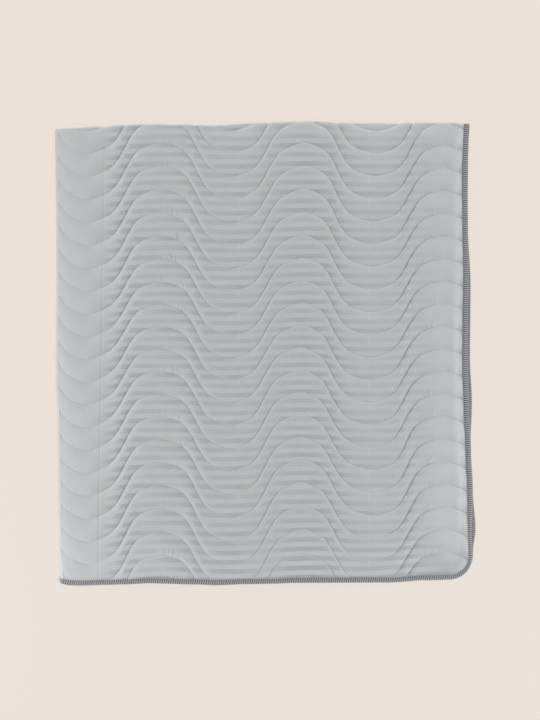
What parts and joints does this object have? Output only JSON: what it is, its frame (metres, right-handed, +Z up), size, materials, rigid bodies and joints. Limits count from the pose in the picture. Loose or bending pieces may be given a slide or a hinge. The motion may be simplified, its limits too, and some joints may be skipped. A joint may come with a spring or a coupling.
{
  "type": "folded quilted mattress protector",
  "caption": "Quilted mattress protector for a wide bed, folded in four and lying flat, with waving quilting lines and a ribbed tape bound round its edge.",
  "frame": {"origin": "middle of the underside, on the surface that the folded pad lies on", "axes": "+Z up, away from the surface; +Y towards the top fold; +X towards the bound side edge"},
  "size_m": [0.9112, 1.0056, 0.0379],
  "materials": {
    "quilted_cloth": "pale cool grey satin-striped cotton, quilted in waving lines",
    "binding_tape": "dark grey ribbed tape, ribs across its width, dull"
  },
  "bodies": {
    "root": {"quilted_pad": "quilted_cloth", "binding": "binding_tape"}
  },
  "joints": []
}
